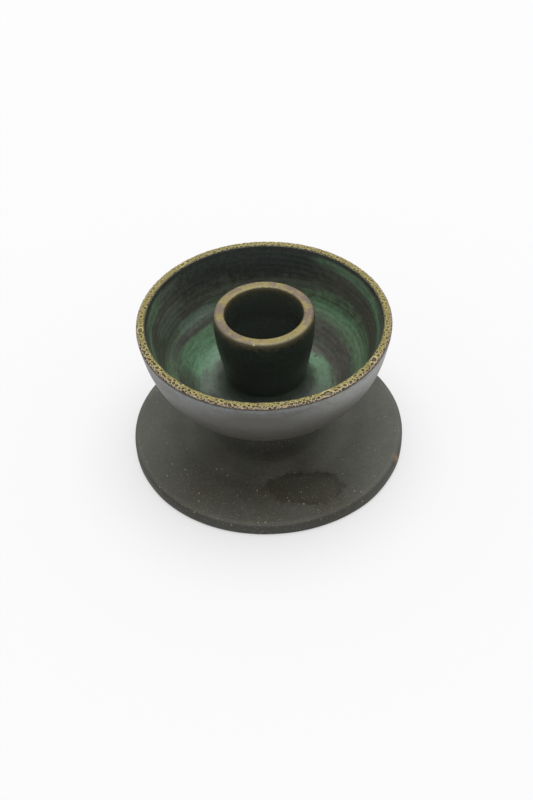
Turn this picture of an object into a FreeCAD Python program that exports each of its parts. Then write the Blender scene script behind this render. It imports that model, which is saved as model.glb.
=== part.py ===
import FreeCAD, Part
import math
import os

import Sketcher

# A hand-thrown stoneware inkwell: a wide flat foot with a short stem carries an open bowl, and a
# round well cup stands in the middle of the bowl. The clay pieces are luted together with slip
# before firing, and each glaze is a thin coat with its own edges.
#
# Millimetres. +Z is up, the origin is the centre of the ring that the foot rests on, and every
# piece is turned about the Z axis. All outlines lie in the XZ plane as (radius, height).

DIMENSIONS = [
    # alias, value, meaning
    ("foot_radius", 46.7, "outer radius of the foot"),
    ("foot_edge_height", 4.4, "height of the foot's outer edge"),
    ("foot_edge_round", 1.3, "rounding of the foot's upper edge"),
    ("foot_arris_round", 0.6, "rounding of the foot's lower edges"),
    ("foot_rise", 3.0, "slope of the foot's top, degrees"),
    ("foot_cove", 7.0, "cove between the foot's top and its stem"),
    ("stem_radius", 12.6, "radius of the stem"),
    ("recess_radius", 38.0, "inner radius of the ring that the foot rests on"),
    ("recess_depth", 1.0, "depth of the recess inside that ring"),
    ("hollow_radius", 8.2, "radius of the hollow inside the stem"),
    ("hollow_height", 9.4, "height of the hollow's crown above the table"),
    ("hollow_round", 3.0, "rounding of the hollow's crown and mouth"),
    ("slip", 0.6, "thickness of the slip between two luted pieces"),
    ("slip_bead", 1.5, "radius of the slip cove under the bowl"),
    ("glaze", 0.5, "thickness of every glaze coat"),
    ("rim_radius", 41.0, "outer radius of the bowl's rim"),
    ("rim_height", 53.0, "height of the bowl's rim"),
    ("rim_width", 3.0, "width of the bowl's rim"),
    ("rim_round", 1.1, "rounding of the rim's two edges"),
    ("rim_glaze_outside", 68.0, "how far round the rim's outer edge its glaze reaches, degrees"),
    ("rim_glaze_inside", 56.0, "how far round the rim's inner edge its glaze reaches, degrees"),
    ("wall_lean", 10.0, "lean of the bowl's outer wall from upright, degrees"),
    ("shoulder_height", 46.5, "height at which the outer wall starts to turn in"),
    ("shoulder_round", 36.0, "radius of that turn"),
    ("belly_lean", 43.6, "lean of the bowl's outer belly from upright, degrees"),
    ("base_round", 21.2, "radius of the bowl's underside"),
    ("base_lean", 73.0, "lean of the underside where it meets the stem, degrees"),
    ("base_height", 14.8, "height at which the underside meets the stem"),
    ("inner_lean", 18.0, "lean of the bowl's inner wall from upright, degrees"),
    ("inner_shoulder_height", 37.6, "height at which the inner wall starts to turn in"),
    ("inner_shoulder_round", 9.0, "radius of that turn"),
    ("inner_belly_lean", 41.0, "lean of the bowl's inner belly from upright, degrees"),
    ("floor_height", 24.8, "height of the bowl's floor"),
    ("floor_round", 8.0, "radius between the bowl's floor and its inner belly"),
    ("cup_height", 54.8, "height of the well cup's rim"),
    ("cup_radius", 16.3, "outer radius of the well cup's rim"),
    ("cup_round", 1.2, "rounding of the cup rim's two edges"),
    ("cup_collar", 2.0, "height of the upright collar below the cup's rounded rim"),
    ("cup_bend", 60.0, "radius between the collar and the leaning wall"),
    ("cup_lean", 9.5, "lean of the cup's wall from upright, degrees"),
    ("cup_cove", 4.6, "cove between the cup and the bowl's floor"),
    ("cup_glaze_outside", 52.0, "how far round the cup's outer edge its rim glaze reaches, degrees"),
    ("cup_glaze_inside", 52.0, "how far round the cup's inner edge its rim glaze reaches, degrees"),
    ("well_radius", 12.5, "radius of the well's straight mouth"),
    ("bore_length", 9.5, "length of the well's straight mouth"),
    ("well_bend", 20.0, "radius between the straight mouth and the leaning wall"),
    ("well_lean", 10.0, "lean of the well's lower wall from upright, degrees"),
    ("well_floor_height", 28.3, "height of the well's floor"),
    ("well_floor_round", 6.0, "radius between the well's floor and its wall"),
]

LEFT = 1
RIGHT = -1

ALONG_AXIS = -2             # Sketcher's number for a sketch's vertical axis
ALONG_BASE = -1             # and for its horizontal axis
ORIGIN_POINT = (-1, 1)
START_POINT, END_POINT = 1, 2

# Heights that several pieces share.
CLAY_BASE = "dims.base_height + dims.glaze * sin(dims.base_lean)"
STEM_TOP = f"{CLAY_BASE} - dims.slip"
CLAY_FLOOR = "dims.floor_height - dims.glaze"
CUP_BOTTOM = f"{CLAY_FLOOR} + dims.slip"

FINISHED = "0"              # a run at the finished face
CLAY = "dims.glaze"         # the same run at the clay face under the glaze


# ---- profiles as text -------------------------------------------------------------------------

class Run:
    """A stretch of profile made of lines and arcs that meet tangentially.

    Every coordinate is the text of an expression on the spreadsheet's cells. Headings are in
    degrees: 0 points away from the axis and 90 points up.
    """

    def __init__(self, radius, height, heading):
        self.points = [(radius, height)]
        self.bends = []
        self.marks = {}
        self.heading = heading

    def mark(self, name):
        self.marks[name] = len(self.points) - 1

    def marked(self, name):
        return self.points[self.marks[name]]

    def go_to(self, radius, height, bend=None):
        self.points.append((radius, height))
        self.bends.append(bend)

    def line(self, length):
        radius, height = self.points[-1]
        self.go_to(
            f"{radius} + ({length}) * cos({self.heading})",
            f"{height} + ({length}) * sin({self.heading})",
        )

    def line_to_height(self, target):
        radius, height = self.points[-1]
        self.go_to(f"{radius} + ({target} - ({height})) / tan({self.heading})", target)

    def line_to_radius(self, target):
        radius, height = self.points[-1]
        self.go_to(target, f"{height} + ({target} - ({radius})) * tan({self.heading})")

    def arc(self, arc_radius, turn, side):
        radius, height = self.points[-1]
        before = self.heading
        self.heading = f"{before} + {side} * ({turn})"
        self.go_to(
            f"{radius} + {side} * ({arc_radius}) * (sin({self.heading}) - sin({before}))",
            f"{height} + {side} * ({arc_radius}) * (cos({before}) - cos({self.heading}))",
            (arc_radius, side),
        )

    def forward(self, first, last):
        """The corners from one mark to another, each with the bend that follows it."""
        start, stop = self.marks[first], self.marks[last]
        return list(zip(self.points[start:stop + 1], self.bends[start:stop] + [None]))

    def backward(self, first, last):
        """The same stretch walked from its last mark back to its first."""
        start, stop = self.marks[first], self.marks[last]
        turned = [bend and (bend[0], -bend[1]) for bend in self.bends[start:stop]]
        return list(zip(self.points[start:stop + 1][::-1], turned[::-1] + [None]))


def corner(radius, height, bend=None):
    """One corner of an outline, with the bend that follows it if the next edge is an arc."""
    return [((radius, height), bend)]


def glazed_edge(run, rounding, glazed_turn, turn, side):
    """The rounded edge beside a crown, with a mark where the rim glaze ends on it."""
    run.arc(rounding, glazed_turn, side)
    run.mark("glaze_edge")
    run.arc(rounding, f"{turn} - {glazed_turn}", side)


def bowl_outside(depth):
    """The bowl from its crown down the outside to the stem, at a depth below the finished face."""
    run = Run("dims.rim_radius - dims.rim_round", f"dims.rim_height - {depth}", "0")
    run.mark("crown")
    glazed_edge(run, f"dims.rim_round - {depth}", "dims.rim_glaze_outside", "90 + dims.wall_lean", RIGHT)
    run.line_to_height(f"dims.shoulder_height + {depth} * sin(dims.wall_lean)")
    run.arc(f"dims.shoulder_round - {depth}", "dims.belly_lean - dims.wall_lean", RIGHT)
    run.line_to_height(
        f"dims.base_height + dims.base_round * (sin(dims.base_lean) - sin(dims.belly_lean))"
        f" + {depth} * sin(dims.belly_lean)"
    )
    run.arc(f"dims.base_round - {depth}", "dims.base_lean - dims.belly_lean", RIGHT)
    run.mark("base")
    return run


def bowl_inside(depth):
    """The bowl from its crown down the inside to the floor."""
    run = Run(
        "dims.rim_radius - dims.rim_width + dims.rim_round", f"dims.rim_height - {depth}", "180"
    )
    run.mark("crown")
    glazed_edge(run, f"dims.rim_round - {depth}", "dims.rim_glaze_inside", "90 - dims.inner_lean", LEFT)
    run.line_to_height(f"dims.inner_shoulder_height - {depth} * sin(dims.inner_lean)")
    run.arc(f"dims.inner_shoulder_round + {depth}", "dims.inner_belly_lean - dims.inner_lean", RIGHT)
    run.line_to_height(
        f"dims.floor_height + dims.floor_round * (1 - sin(dims.inner_belly_lean))"
        f" - {depth} * sin(dims.inner_belly_lean)"
    )
    run.arc(f"dims.floor_round + {depth}", "90 - dims.inner_belly_lean", RIGHT)
    run.mark("floor")
    return run


def cup_wall(depth):
    """The well cup from its crown down the outside to where its wall starts to lean."""
    run = Run("dims.cup_radius - dims.cup_round", f"dims.cup_height - {depth}", "0")
    run.mark("crown")
    glazed_edge(run, f"dims.cup_round - {depth}", "dims.cup_glaze_outside", "90", RIGHT)
    run.line("dims.cup_collar")
    run.arc(f"dims.cup_bend - {depth}", "dims.cup_lean", RIGHT)
    return run


def cup_outside(depth):
    """The well cup from its crown down the outside and round the cove to the bowl's floor."""
    run = cup_wall(depth)
    run.line_to_height(
        f"dims.floor_height + dims.cup_cove + (dims.cup_cove + {depth}) * sin(dims.cup_lean)"
    )
    run.mark("cove_top")
    run.arc(f"dims.cup_cove + {depth}", "90 + dims.cup_lean", LEFT)
    run.mark("floor")
    return run


def cup_clay_outside():
    """The well cup's clay face from its crown down to its bottom, inside the cove."""
    run = cup_wall(CLAY)
    run.line_to_height(CUP_BOTTOM)
    run.mark("bottom")
    return run


def well_inside(depth):
    """The well from the cup's crown down to its floor."""
    run = Run("dims.well_radius + dims.cup_round", f"dims.cup_height - {depth}", "180")
    run.mark("crown")
    glazed_edge(run, f"dims.cup_round - {depth}", "dims.cup_glaze_inside", "90", LEFT)
    run.line("dims.bore_length")
    run.arc(f"dims.well_bend + {depth}", "dims.well_lean", RIGHT)
    run.line_to_height(
        f"dims.well_floor_height + dims.well_floor_round * (1 - sin(dims.well_lean))"
        f" - {depth} * sin(dims.well_lean)"
    )
    run.arc(f"dims.well_floor_round + {depth}", "90 - dims.well_lean", RIGHT)
    run.mark("floor")
    return run


def foot_top():
    """The foot's top from its outer edge up the cove to the top of the stem."""
    run = Run("dims.foot_radius", "dims.foot_edge_height", "180 - dims.foot_rise")
    run.mark("edge")
    run.line_to_radius("dims.stem_radius + dims.foot_cove * (1 - sin(dims.foot_rise))")
    run.arc("dims.foot_cove", "90 - dims.foot_rise", RIGHT)
    run.go_to("dims.stem_radius", STEM_TOP)
    run.mark("stem_top")
    return run


def foot_hollow():
    """The recess under the foot and the hollow in its stem, from the resting ring inwards."""
    run = Run("dims.recess_radius", "dims.recess_depth", "180")
    run.mark("ring")
    run.line_to_radius("dims.hollow_radius + dims.hollow_round")
    run.arc("dims.hollow_round", "90", RIGHT)
    run.line_to_height("dims.hollow_height - dims.hollow_round")
    run.arc("dims.hollow_round", "90", LEFT)
    run.mark("crown")
    return run


# ---- outlines of the pieces -------------------------------------------------------------------

def coat(run, first, last):
    """A glaze coat along one run: its finished face, then the clay face under it."""
    return run(FINISHED).forward(first, last) + run(CLAY).backward(first, last)


def lip_coat(outside, inside):
    """A glaze coat over a lip, from its edge on the outside to its edge on the inside."""
    return (
        outside(FINISHED).backward("crown", "glaze_edge")
        + inside(FINISHED).forward("crown", "glaze_edge")
        + inside(CLAY).backward("crown", "glaze_edge")
        + outside(CLAY).forward("crown", "glaze_edge")
    )


def foot_outline():
    return (
        corner("0", "0")
        + corner("dims.foot_radius", "0")
        + foot_top().forward("edge", "stem_top")
        + corner("0", STEM_TOP)
    )


def foot_hollow_outline():
    return (
        corner("0", "0")
        + corner("dims.recess_radius", "0")
        + foot_hollow().forward("ring", "crown")
        + corner("0", "dims.hollow_height")
    )


def foot_joint_slip_outline():
    return (
        corner("0", STEM_TOP)
        + corner("dims.stem_radius", STEM_TOP)
        + corner("dims.stem_radius", "dims.base_height - dims.slip_bead", ("dims.slip_bead", RIGHT))
        + corner(*bowl_outside(FINISHED).marked("base"))
        + corner(*bowl_outside(CLAY).marked("base"))
        + corner("0", CLAY_BASE)
    )


def bowl_outline():
    return (
        corner("0", CLAY_BASE)
        + bowl_outside(CLAY).backward("crown", "base")
        + bowl_inside(CLAY).forward("crown", "floor")
        + corner("0", CLAY_FLOOR)
    )


def bowl_lining_outline():
    return (
        bowl_inside(FINISHED).forward("glaze_edge", "floor")
        + cup_outside(FINISHED).backward("cove_top", "floor")
        + cup_outside(CLAY).forward("cove_top", "floor")
        + bowl_inside(CLAY).backward("glaze_edge", "floor")
    )


def cup_joint_slip_outline():
    return (
        corner("0", CLAY_FLOOR)
        + cup_outside(CLAY).backward("cove_top", "floor")
        + corner(*cup_clay_outside().marked("bottom"))
        + corner("0", CUP_BOTTOM)
    )


def well_cup_outline():
    return (
        corner("0", CUP_BOTTOM)
        + cup_clay_outside().backward("crown", "bottom")
        + well_inside(CLAY).forward("crown", "floor")
        + corner("0", "dims.well_floor_height - dims.glaze")
    )


def well_lining_outline():
    return (
        well_inside(FINISHED).forward("glaze_edge", "floor")
        + corner("0", "dims.well_floor_height")
        + corner("0", "dims.well_floor_height - dims.glaze")
        + well_inside(CLAY).backward("glaze_edge", "floor")
    )


OUTLINES = {
    "foot": foot_outline(),
    "foot_joint_slip": foot_joint_slip_outline(),
    "bowl": bowl_outline(),
    "bowl_outer_glaze": coat(bowl_outside, "glaze_edge", "base"),
    "bowl_rim_glaze": lip_coat(bowl_outside, bowl_inside),
    "bowl_lining_glaze": bowl_lining_outline(),
    "cup_joint_slip": cup_joint_slip_outline(),
    "well_cup": well_cup_outline(),
    "cup_outer_glaze": coat(cup_outside, "glaze_edge", "cove_top"),
    "cup_rim_glaze": lip_coat(cup_wall, well_inside),
    "well_lining_glaze": well_lining_outline(),
}


# ---- document ---------------------------------------------------------------------------------

def fill_sheet(doc):
    """The spreadsheet of driving dimensions: name, value and meaning in each row."""
    sheet = doc.addObject("Spreadsheet::Sheet", "dims")
    for row, (alias, value, meaning) in enumerate(DIMENSIONS, start=1):
        sheet.set(f"A{row}", alias)
        sheet.set(f"B{row}", str(value))
        sheet.set(f"C{row}", meaning)
        sheet.setAlias(f"B{row}", alias)
    doc.recompute()
    return sheet


def edge_geometry(start, end, bend_radius, side):
    """A line, or the arc shorter than half a circle that bends to the given side."""
    if bend_radius is None:
        return Part.LineSegment(start, end)
    chord = end - start
    rise = math.sqrt(bend_radius ** 2 - (chord.Length / 2) ** 2)
    to_left = FreeCAD.Vector(-chord.y, chord.x, 0).normalize()
    centre = (start + end) * 0.5 + to_left * rise * side
    ends = [math.atan2((point - centre).y, (point - centre).x) for point in (start, end)]
    circle = Part.Circle(centre, FreeCAD.Vector(0, 0, 1), bend_radius)
    return Part.ArcOfCircle(circle, *ends[::side])


def draw_outline(body, name, outline, sheet):
    """A closed sketch on the body's XZ plane with every size bound to the spreadsheet."""
    plane = next(item for item in body.Origin.OriginFeatures if item.Role == "XZ_Plane")
    sketch = body.newObject("Sketcher::SketchObject", name)
    sketch.AttachmentSupport = [(plane, "")]
    sketch.MapMode = "FlatFace"

    corners = [
        FreeCAD.Vector(*(float(sheet.evalExpression(text)) for text in point), 0)
        for point, bend in outline
    ]
    edges = []
    joints = []
    for index, (point, bend) in enumerate(outline):
        radius, side = (float(sheet.evalExpression(bend[0])), bend[1]) if bend else (None, LEFT)
        edges.append(
            edge_geometry(corners[index], corners[(index + 1) % len(corners)], radius, side)
        )
        joints.append((START_POINT, END_POINT)[::side])
    sketch.addGeometry(edges, False)

    constraints = []
    formulas = {}

    def bind(kind, *where, value, text):
        formulas[len(constraints)] = text
        constraints.append(Sketcher.Constraint(kind, *where, value))

    for index, (point, bend) in enumerate(outline):
        first_end, last_end = joints[index]
        following = (index + 1) % len(outline)
        constraints.append(
            Sketcher.Constraint("Coincident", index, last_end, following, joints[following][0])
        )
        radius, height = point
        if radius == "0":
            constraints.append(Sketcher.Constraint("PointOnObject", index, first_end, ALONG_AXIS))
        else:
            bind("DistanceX", *ORIGIN_POINT, index, first_end,
                 value=corners[index].x, text=radius)
        if height == "0":
            constraints.append(Sketcher.Constraint("PointOnObject", index, first_end, ALONG_BASE))
        else:
            bind("DistanceY", *ORIGIN_POINT, index, first_end,
                 value=corners[index].y, text=height)
        if bend:
            bind("Radius", index, value=edges[index].Radius, text=bend[0])
    sketch.addConstraint(constraints)
    for index, text in formulas.items():
        sketch.setExpression(f"Constraints[{index}]", text)
    return sketch


def turn_outline(doc, feature_type, body, name, outline, sheet):
    """A Revolution or Groove that turns an outline all the way round the Z axis."""
    sketch = draw_outline(body, f"{name}_outline", outline, sheet)
    feature = body.newObject(feature_type, name)
    feature.Profile = sketch
    feature.ReferenceAxis = (sketch, ["V_Axis"])
    feature.Angle = 360
    doc.recompute()
    sketch.Visibility = False
    return feature


def circle_names(feature, sheet, radius, height):
    """The names of a feature's circular edges at a radius and height given as expressions."""
    wanted = [float(sheet.evalExpression(text)) for text in (radius, height)]
    names = []
    for number, edge in enumerate(feature.Shape.Edges, start=1):
        if not isinstance(edge.Curve, Part.Circle):
            continue
        found = [edge.Curve.Radius, edge.Curve.Center.z]
        if all(math.isclose(a, b, abs_tol=1e-4) for a, b in zip(found, wanted)):
            names.append(f"Edge{number}")
    return names


def round_circle(doc, body, name, sheet, radius, height, rounding):
    """A fillet on the circular edge at a radius and height."""
    base = body.Tip
    fillet = body.newObject("PartDesign::Fillet", name)
    fillet.Base = (base, circle_names(base, sheet, radius, height))
    fillet.setExpression("Radius", rounding)
    doc.recompute()
    base.Visibility = False


def make_body(doc, label):
    body = doc.addObject("PartDesign::Body", label)
    body.Label = label
    body.Placement = FreeCAD.Placement()
    return body


def hollow_foot(doc, body, sheet):
    """The recess and hollow under the foot, and its rounded edges."""
    solid_volume = body.Shape.Volume
    turn_outline(doc, "PartDesign::Groove", body, "foot_hollow", foot_hollow_outline(), sheet)
    if body.Shape.Volume >= solid_volume:
        raise RuntimeError("the hollow under the foot cuts nothing")
    round_circle(doc, body, "foot_edge_fillet", sheet,
                 "dims.foot_radius", "dims.foot_edge_height", "dims.foot_edge_round")
    round_circle(doc, body, "foot_arris_fillet", sheet,
                 "dims.foot_radius", "0", "dims.foot_arris_round")
    round_circle(doc, body, "foot_ring_fillet", sheet,
                 "dims.recess_radius", "0", "dims.foot_arris_round")


def check(doc, bodies):
    """Stops if any object failed to compute or any piece isn't one valid solid."""
    for item in doc.Objects:
        if {"Invalid", "Error"} & set(item.State):
            raise RuntimeError(f"{item.Name} failed: {item.State}")
    for body in bodies:
        shape = body.Shape
        if shape.isNull() or not shape.isValid() or len(shape.Solids) != 1:
            raise RuntimeError(f"{body.Label} is not one valid solid")


def main():
    doc = FreeCAD.newDocument("inkwell")
    sheet = fill_sheet(doc)
    bodies = []
    for label, outline in OUTLINES.items():
        body = make_body(doc, label)
        turn_outline(doc, "PartDesign::Revolution", body, f"{label}_turned", outline, sheet)
        if label == "foot":
            hollow_foot(doc, body, sheet)
        bodies.append(body)
    doc.recompute()
    check(doc, bodies)

    os.makedirs("parts", exist_ok=True)
    for body in bodies:
        body.Shape.exportStep(f"parts/{body.Label}.step")
        print(f"{body.Label}: {body.Shape.Volume:.1f} mm3")


main()
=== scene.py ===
import math
from collections import namedtuple

import bmesh
import bpy
import numpy as np
from mathutils import Euler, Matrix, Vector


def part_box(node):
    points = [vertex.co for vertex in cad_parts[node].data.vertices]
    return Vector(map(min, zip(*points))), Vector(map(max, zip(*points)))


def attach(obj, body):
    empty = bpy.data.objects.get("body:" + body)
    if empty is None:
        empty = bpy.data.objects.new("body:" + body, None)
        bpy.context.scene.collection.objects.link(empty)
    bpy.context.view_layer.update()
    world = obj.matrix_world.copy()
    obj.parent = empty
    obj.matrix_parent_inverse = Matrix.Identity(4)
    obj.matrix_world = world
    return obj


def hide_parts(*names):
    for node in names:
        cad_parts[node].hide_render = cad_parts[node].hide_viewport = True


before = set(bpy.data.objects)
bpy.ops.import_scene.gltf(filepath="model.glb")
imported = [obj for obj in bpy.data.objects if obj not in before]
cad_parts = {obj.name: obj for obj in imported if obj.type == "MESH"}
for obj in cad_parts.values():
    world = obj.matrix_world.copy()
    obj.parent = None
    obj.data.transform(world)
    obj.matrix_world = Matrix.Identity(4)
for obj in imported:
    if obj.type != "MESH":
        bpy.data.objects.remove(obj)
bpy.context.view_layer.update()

# A hand-thrown stoneware inkwell. Every CAD node is a body turned about the Z axis, so each one is
# rebuilt here from its own outline as a finely divided turned mesh, with the relief that throwing,
# trimming and firing leave on it. Lengths are metres in the CAD frame, and materials, azimuths and
# tables of places use millimetres and degrees. Azimuth 0 is +X (right), 90 back and 270 front.

MM = 0.001
TURN = 2 * math.pi

# Outlines
WELD = 0.001 * MM           # points nearer than this are one point
TOUCH = 0.03 * MM           # faces nearer than this touch, so neither can be seen
CORNER = math.radians(40)   # an outline that turns by more than this has a corner there
STEP = 0.05 * MM            # spacing of the points that an outline is smoothed on
HIDDEN_SPACING = 1.5 * MM   # spacing of the rows on faces that touch another piece

# Camera, as fitted to the outlines of the foot and of both rims
CAMERA_DISTANCE = 392.1 * MM
CAMERA_ELEVATION = math.radians(45.73)
CAMERA_PITCH = math.radians(-44.09)
CAMERA_YAW = math.radians(0.064)
CAMERA_ROLL = math.radians(-2.315)

# Stage and light
FLOOR_COLOR = (153, 153, 153)
FLOOR_GLOW = 0.47           # how strongly the light table shines by itself
FLOOR_HALF_SIZE = 30
FLOOR_DROP = 0.02 * MM      # keeps the floor off the underside of the foot
ROOM_STRENGTH = 0.73
SOFTBOX_STRENGTH = 2.44
SOFTBOX_WIDTH = math.radians(53)    # how wide it looks from the pot
SOFTBOX_BACK = math.radians(6)      # how far behind straight overhead it stands
SOFTBOX_RIGHT = math.radians(2.5)   # and how far to the right


# ---- outlines ---------------------------------------------------------------------------------

def half_outline(node):
    """A CAD node's outline in the half-plane y = 0, x >= 0, as ordered (radius, height) points.

    It runs with the solid on its left. A ring's outline is a loop that doesn't repeat its first
    point, and the outline of a piece that crosses the axis starts and ends on the axis.
    """
    cut = bmesh.new()
    cut.from_mesh(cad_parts[node].data)
    bmesh.ops.remove_doubles(cut, verts=cut.verts, dist=WELD)
    # The first cut keeps only what lies in its plane, and the second only the half with x >= 0.
    for normal, clear_front in (((0, 1, 0), True), ((1, 0, 0), False)):
        bmesh.ops.bisect_plane(
            cut, geom=[*cut.verts, *cut.edges, *cut.faces], dist=WELD,
            plane_co=(0, 0, 0), plane_no=normal, clear_inner=True, clear_outer=clear_front,
        )
    bmesh.ops.remove_doubles(cut, verts=cut.verts, dist=WELD)
    first = min(cut.verts, key=lambda vertex: (len(vertex.link_edges), vertex.co.z))
    here = first
    came_by = None
    outline = []
    while True:
        outline.append((here.co.x, here.co.z))
        onward = [edge for edge in here.link_edges if edge != came_by]
        if not onward:
            break
        came_by = onward[0]
        here = came_by.other_vert(here)
        if here == first:
            break
    cut.free()
    outline = np.array(outline)
    radius, height = outline.T
    area = np.sum(radius * np.roll(height, -1) - np.roll(radius, -1) * height)
    return outline if area > 0 else outline[::-1]


OUTLINES = {node: half_outline(node) for node in sorted(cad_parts)}


def distance_to_outline(points, outline):
    """The distance from each point to the nearest side of a closed outline."""
    start = outline
    side = np.roll(outline, -1, axis=0) - start
    length = np.maximum(np.sum(side ** 2, axis=1), WELD ** 2)
    offset = points[:, None] - start
    share = np.clip(np.sum(offset * side, axis=2) / length, 0, 1)
    nearest = start + share[..., None] * side
    return np.min(np.linalg.norm(points[:, None] - nearest, axis=2), axis=1)


def is_hidden(node, stretch):
    """Whether a stretch of a node's outline lies against other nodes all the way."""
    points = np.vstack([stretch, (stretch[1:] + stretch[:-1]) / 2])
    others = [distance_to_outline(points, OUTLINES[other]) for other in OUTLINES if other != node]
    return bool(np.all(np.min(others, axis=0) < TOUCH))


def split_at_corners(outline):
    """The stretches of an outline between its corners, each with both of its end points."""
    if outline[0, 0] < WELD:
        headings = np.diff(outline, axis=0)
    else:
        headings = np.roll(outline, -1, axis=0) - outline
    angle = np.arctan2(headings[:, 1], headings[:, 0])
    turn = np.abs((angle - np.roll(angle, 1) + math.pi) % TURN - math.pi)
    if outline[0, 0] < WELD:
        ends = [0, *(np.flatnonzero(turn[1:] > CORNER) + 1), len(outline) - 1]
        return [outline[a:b + 1] for a, b in zip(ends, ends[1:])]
    corners = np.flatnonzero(turn > CORNER)
    loop = np.roll(outline, -corners[0], axis=0)
    loop = np.vstack([loop, loop[:1]])
    ends = [*(corners - corners[0]), len(outline)]
    return [loop[a:b + 1] for a, b in zip(ends, ends[1:])]


def length_along(points):
    """The distance walked from the first point to each point."""
    return np.concatenate([[0], np.cumsum(np.linalg.norm(np.diff(points, axis=0), axis=1))])


def resample(points, spacing):
    """The same stretch with evenly spaced points."""
    along = length_along(points)
    count = max(2, round(along[-1] / spacing) + 1)
    wanted = np.linspace(0, along[-1], count)
    return np.stack([np.interp(wanted, along, values) for values in points.T], axis=1)


def soften(points, reach):
    """Smooths evenly spaced points over a reach in metres, and keeps both ends where they are."""
    margin = min(len(points) - 1, int(3 * reach / STEP))
    before = 2 * points[0] - points[margin:0:-1]
    after = 2 * points[-1] - points[-2:-2 - margin:-1]
    weight = np.exp(-0.5 * (np.arange(-margin, margin + 1) * STEP / reach) ** 2)
    weight /= weight.sum()
    padded = np.vstack([before, points, after])
    return np.stack([np.convolve(values, weight, mode="valid") for values in padded.T], axis=1)


# ---- turned surfaces --------------------------------------------------------------------------

class Turned:
    """A CAD node's outline divided into rows, to be turned into a mesh with relief.

    profile, outward and forward hold each row's (radius, height) point, its outward direction
    and its direction along the outline. start and end are each row's distances from the two ends
    of its stretch, and seen tells the rows of the faces that can be seen.
    """

    def __init__(self, node, columns, spacing, softness):
        self.node = node
        self.columns = columns
        self.angle = np.linspace(0, TURN, columns, endpoint=False)
        profile, forward, start, end, seen = [], [], [], [], []
        for stretch in split_at_corners(OUTLINES[node]):
            shown = not is_hidden(node, stretch)
            if shown:
                smooth = soften(resample(stretch, STEP), softness)
                rows = resample(smooth, spacing)
            else:
                rows = resample(stretch, HIDDEN_SPACING)
            along = length_along(rows)
            profile.append(rows)
            forward.append(np.gradient(rows, axis=0))
            start.append(along)
            end.append(along[-1] - along)
            seen.append(np.full(len(rows), shown))
        keep = self._rows_to_keep(seen, on_axis=OUTLINES[node][0, 0] < WELD)
        self.profile = np.vstack(profile)[keep]
        heading = np.vstack(forward)[keep]
        self.forward = heading / np.linalg.norm(heading, axis=1, keepdims=True)
        self.outward = np.stack([self.forward[:, 1], -self.forward[:, 0]], axis=1)
        self.start = np.concatenate(start)[keep]
        self.end = np.concatenate(end)[keep]
        self.seen = np.concatenate(seen)[keep]
        self.shape = (len(self.profile), columns)
        self.rest = self.turn(*self.profile.T[:, :, None])
        self.out = np.zeros(self.shape)
        self.slide = np.zeros(self.shape)
        self.marks = {}

    @staticmethod
    def _rows_to_keep(seen, on_axis):
        """Every row but one of each two that share a corner, where a seen face keeps its row."""
        keep = [np.full(len(rows), True) for rows in seen]
        pairs = list(zip(range(len(seen)), range(1, len(seen))))
        if not on_axis:
            pairs.append((len(seen) - 1, 0))
        for before, after in pairs:
            if seen[before][0]:
                keep[after][0] = False
            else:
                keep[before][-1] = False
        return np.concatenate(keep)

    @property
    def round_the_pot(self):
        return self.angle[None, :]

    def raise_by(self, amount):
        """Adds relief in metres along the outward direction of the faces that can be seen."""
        self.out += np.where(self.seen[:, None], amount, 0)

    def edge_fade(self, reach):
        """0 at both ends of each stretch, rising to 1 at a distance of reach from them."""
        return smooth_step(np.minimum(self.start, self.end) / reach)[:, None]

    def turn(self, radius, height):
        """Points at a radius and height for each row, or each row and column."""
        x = radius * np.cos(self.angle)
        y = radius * np.sin(self.angle)
        return np.stack([x, y, np.broadcast_to(height, x.shape)], axis=-1)

    def points(self):
        """Every point of the mesh, with the relief and the unevenness of the pot."""
        moved = (
            self.profile[:, None]
            + self.outward[:, None] * self.out[..., None]
            + self.forward[:, None] * self.slide[..., None]
        )
        return uneven_throwing(self.turn(moved[..., 0], moved[..., 1]))

    def make(self, material):
        """The finished piece, standing for its CAD node."""
        rows, columns = self.shape
        number = np.arange(rows * columns).reshape(rows, columns)
        if OUTLINES[self.node][0, 0] >= WELD:
            number = np.vstack([number, number[:1]])
        across = np.roll(number, -1, axis=1)
        faces = np.stack([number[:-1], across[:-1], across[1:], number[1:]], axis=-1)
        mesh = bpy.data.meshes.new(self.node + "_fired")
        mesh.from_pydata(self.points().reshape(-1, 3), [], faces.reshape(-1, 4).tolist())
        for name, values in self.marks.items():
            mark = mesh.attributes.new(name, "FLOAT", "POINT")
            mark.data.foreach_set("value", values.astype(np.float32).ravel())
        weld_axis(mesh)
        mesh.shade_smooth()
        mesh.set_sharp_from_angle(angle=CORNER)
        mesh.materials.append(material)
        piece = bpy.data.objects.new(mesh.name, mesh)
        bpy.context.scene.collection.objects.link(piece)
        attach(piece, "root")
        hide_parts(self.node)
        return piece


def weld_axis(mesh):
    """Joins the points that lie on the axis, and turns every face outwards."""
    work = bmesh.new()
    work.from_mesh(mesh)
    on_axis = [vertex for vertex in work.verts if vertex.co.xy.length < WELD]
    bmesh.ops.remove_doubles(work, verts=on_axis, dist=WELD)
    bmesh.ops.recalc_face_normals(work, faces=work.faces)
    work.to_mesh(mesh)
    work.free()


def smooth_step(value):
    value = np.clip(value, 0, 1)
    return value * value * (3 - 2 * value)


# ---- the hand of the potter -------------------------------------------------------------------

FOOT_EDGE = 5 * MM          # where the flat part of the foot ends and its stem begins
SETTLE = 0.06               # mm that everything above the foot stands lower than in the CAD model
BOWL_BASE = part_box("bowl_outer_glaze")[0].z
BOWL_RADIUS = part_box("bowl_outer_glaze")[1].x


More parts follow.
